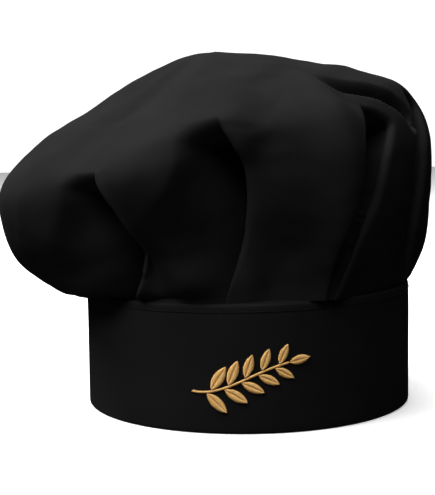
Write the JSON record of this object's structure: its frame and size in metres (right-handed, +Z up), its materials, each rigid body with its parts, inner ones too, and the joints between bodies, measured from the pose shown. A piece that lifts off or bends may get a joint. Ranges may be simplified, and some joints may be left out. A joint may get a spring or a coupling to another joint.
{
  "type": "chef toque",
  "caption": "Floppy chef's hat: a full round cloth crown pleated into a tall stiffened band with an embroidered sprig, closed at the back by a hook-and-loop tab.",
  "frame": {"origin": "centre of the head opening, in the plane of the rim that the hat stands on", "axes": "+Z up through the crown; -Y towards the front, where the embroidery is; the crown hangs over furthest on the -X side"},
  "size_m": [0.2518, 0.2326, 0.2045],
  "materials": {
    "black_cloth": "matt black cotton-blend twill with a faint sheen",
    "black_tape": "black nylon hook-and-loop tape",
    "black_thread": "black polyester sewing thread",
    "gold_thread": "golden orange rayon embroidery thread, lustrous",
    "white_felt": "off-white non-woven interlining",
    "label_satin": "blank white woven satin label"
  },
  "bodies": {
    "hat": {"crown_cloth": "black_cloth", "band_cloth": "black_cloth", "band_tongue": "black_cloth", "band_stiffener": "white_felt", "embroidery_backing": "white_felt", "loop_tape": "black_tape", "band_top_stitch": "black_thread", "loop_stitch": "black_thread", "band_end_stitch": "black_thread", "care_label": "label_satin", "size_label": "label_satin", "sprig_stem": "gold_thread", "sprig_leaf_upper_1": "gold_thread", "sprig_leaf_lower_1": "gold_thread", "sprig_leaf_upper_2": "gold_thread", "sprig_leaf_lower_2": "gold_thread", "sprig_leaf_upper_3": "gold_thread", "sprig_leaf_lower_3": "gold_thread", "sprig_leaf_upper_4": "gold_thread", "sprig_leaf_lower_4": "gold_thread", "sprig_leaf_upper_5": "gold_thread", "sprig_leaf_lower_5": "gold_thread", "sprig_leaf_tip": "gold_thread"},
    "closure_tab": {"tab_cloth": "black_cloth", "tab_stiffener": "white_felt", "hook_tape": "black_tape", "hook_stitch": "black_thread", "tab_edge_stitch": "black_thread"}
  },
  "joints": [
    {"name": "tab_peel", "type": "hinge", "parent": "hat", "child": "closure_tab", "pos_m": [0.03039, 0.0958, 0.03475], "axis": [0, 0, -1], "range_deg": [0, 110]}
  ]
}
